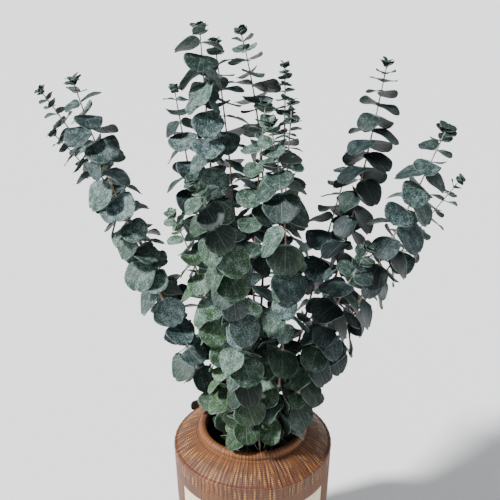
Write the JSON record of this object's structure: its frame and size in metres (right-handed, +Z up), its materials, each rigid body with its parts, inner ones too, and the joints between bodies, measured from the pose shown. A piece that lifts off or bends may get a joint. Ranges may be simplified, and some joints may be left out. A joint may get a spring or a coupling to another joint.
{
  "type": "eucalyptus branches in a vase",
  "caption": "Bunch of leafy round-leaved eucalyptus branches standing fanned out in a broad-shouldered stoneware vase with a rolled lip.",
  "frame": {"origin": "centre of the vase's flat underside", "axes": "+Z up along the vase's axis, +X to the viewer's right, -Y towards the viewer"},
  "size_m": [0.4019, 0.2558, 0.5949],
  "materials": {
    "vase": "satin glazed stoneware, combed and cross-lined in brown and amber",
    "leaf": "matte grey-green leaf with a pale waxy bloom",
    "stem": "smooth red-brown young bark"
  },
  "bodies": {
    "root": {"vase": "vase", "branch_front_centre": "leaf", "branch_front_left": "leaf", "branch_front_short_right": "leaf", "branch_front_short_left": "leaf", "branch_left_main": "leaf", "branch_right_main": "leaf", "branch_right_inner": "leaf", "branch_top_left": "leaf", "branch_centre": "leaf", "branch_left_low": "leaf", "branch_left_back": "leaf", "branch_inner_left": "leaf", "branch_top_centre": "leaf", "branch_back_tall": "leaf", "branch_back_centre": "leaf", "branch_back_right": "leaf", "branch_right_back": "leaf", "branch_right_low": "leaf"}
  },
  "joints": []
}
